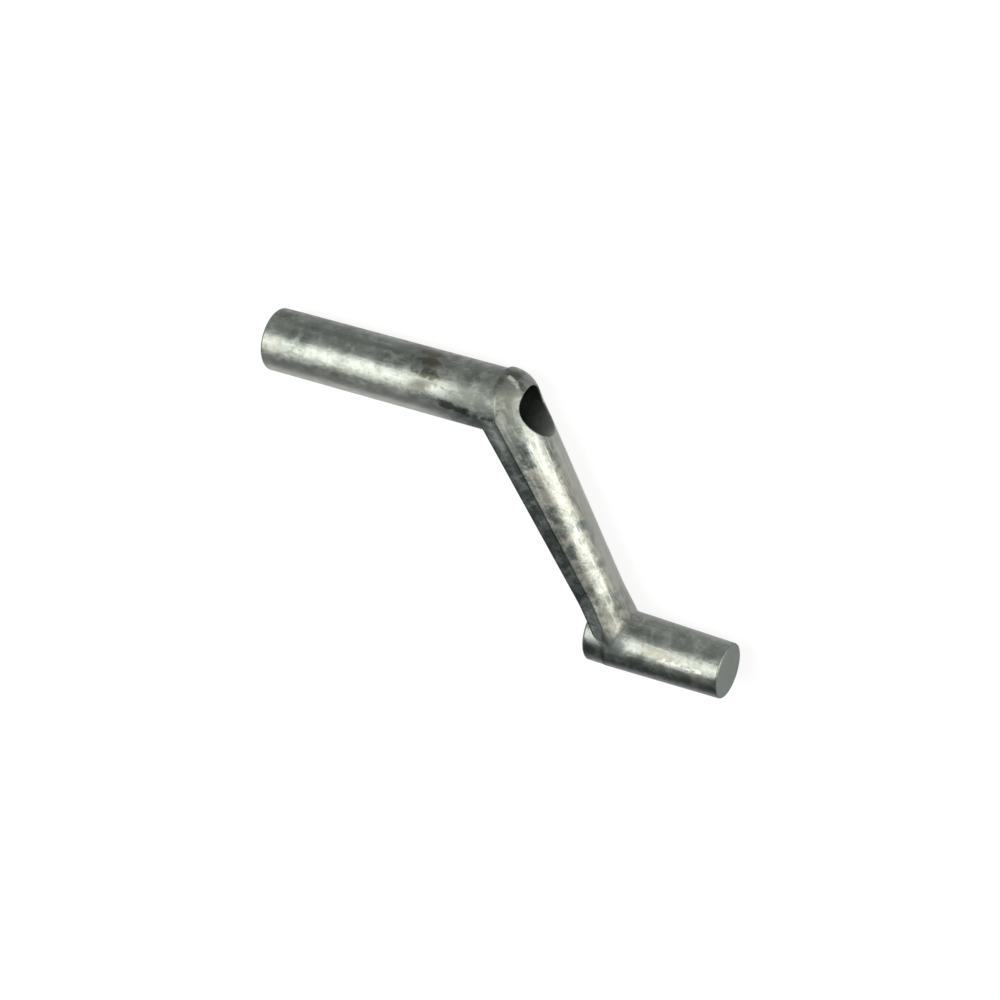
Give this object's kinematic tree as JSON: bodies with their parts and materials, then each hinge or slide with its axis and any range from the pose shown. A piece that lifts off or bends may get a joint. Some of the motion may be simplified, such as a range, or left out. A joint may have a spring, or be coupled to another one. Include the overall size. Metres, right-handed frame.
{
  "type": "crank handle, one-piece zinc die casting with a tubular barrel",
  "caption": "One-piece cast crank handle: a tubular barrel, a slanted arched arm open at the elbow to the barrel's bore, and a short solid grip parallel to the barrel.",
  "frame": {"origin": "centre of the barrel's open end, on the barrel's axis", "axes": "+X along the barrel from its open end towards the elbow and the grip; the grip's axis lies at -Y, parallel to X; +Z square to the plane that holds the barrel's and the grip's axes"},
  "size_m": [0.1024, 0.0558, 0.0136],
  "materials": {
    "zinc": "raw zinc die casting, dull grey with burnished bright patches and brown stains"
  },
  "bodies": {
    "root": {"crank_handle": "zinc"}
  },
  "joints": []
}
